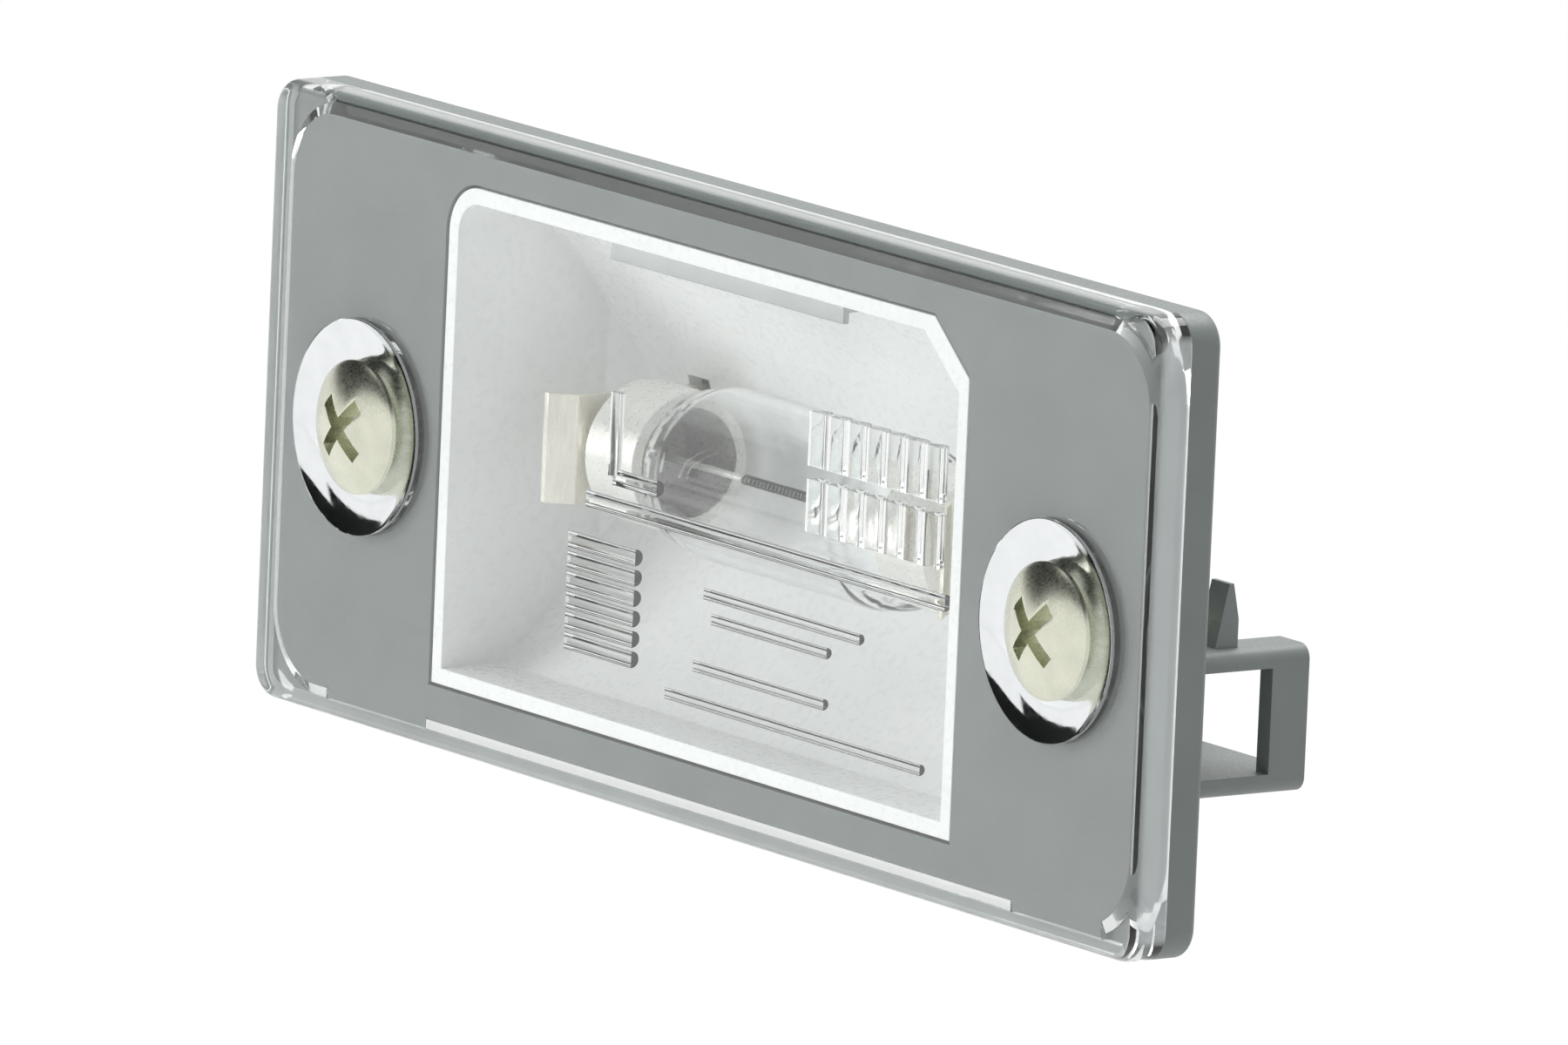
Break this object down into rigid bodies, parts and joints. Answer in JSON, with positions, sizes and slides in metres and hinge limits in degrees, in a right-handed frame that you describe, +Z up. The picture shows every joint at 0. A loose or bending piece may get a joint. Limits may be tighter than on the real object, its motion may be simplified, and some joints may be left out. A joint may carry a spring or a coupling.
{
  "type": "number plate lamp",
  "caption": "Rectangular number plate lamp: clear ribbed lens screwed over a grey housing with a festoon bulb, reflector, plug socket and a cage at one end.",
  "frame": {"origin": "midway between the two screws, on the back of the flange where it meets the car's panel", "axes": "+X to the right seen from the front, +Y to the back along the screws, +Z up; the lens faces -Y"},
  "size_m": [0.082, 0.0252, 0.034],
  "materials": {
    "lens_clear": "clear polished acrylic",
    "housing_grey": "grey moulded plastic, fine grain",
    "reflector_white": "bright white",
    "seal_silicone": "translucent silicone bead",
    "seal_rubber": "soft black",
    "shield_steel": "rolled sheet",
    "bulb_clear": "clear",
    "cap_nickel": "nickel plated",
    "tungsten": "drawn wire",
    "contact_brass": "stamped strip, tinned",
    "screw_zinc": "yellow zinc plated",
    "washer_bright": "polished and nickel plated"
  },
  "bodies": {
    "root": {"lens": "lens_clear", "housing": "housing_grey", "reflector": "reflector_white", "lens_seal": "seal_silicone", "body_gasket": "seal_rubber", "heat_shield": "shield_steel", "bulb_glass": "bulb_clear", "bulb_cap_left": "cap_nickel", "bulb_cap_right": "cap_nickel", "bulb_filament": "tungsten", "bulb_wire_left": "cap_nickel", "bulb_wire_right": "cap_nickel", "contact_left": "contact_brass", "contact_right": "contact_brass", "terminal_left": "contact_brass", "terminal_right": "contact_brass", "rivet_left": "contact_brass", "rivet_right": "contact_brass", "screw_left": "screw_zinc", "screw_right": "screw_zinc", "screw_washer_left": "washer_bright", "screw_washer_right": "washer_bright"}
  },
  "joints": []
}
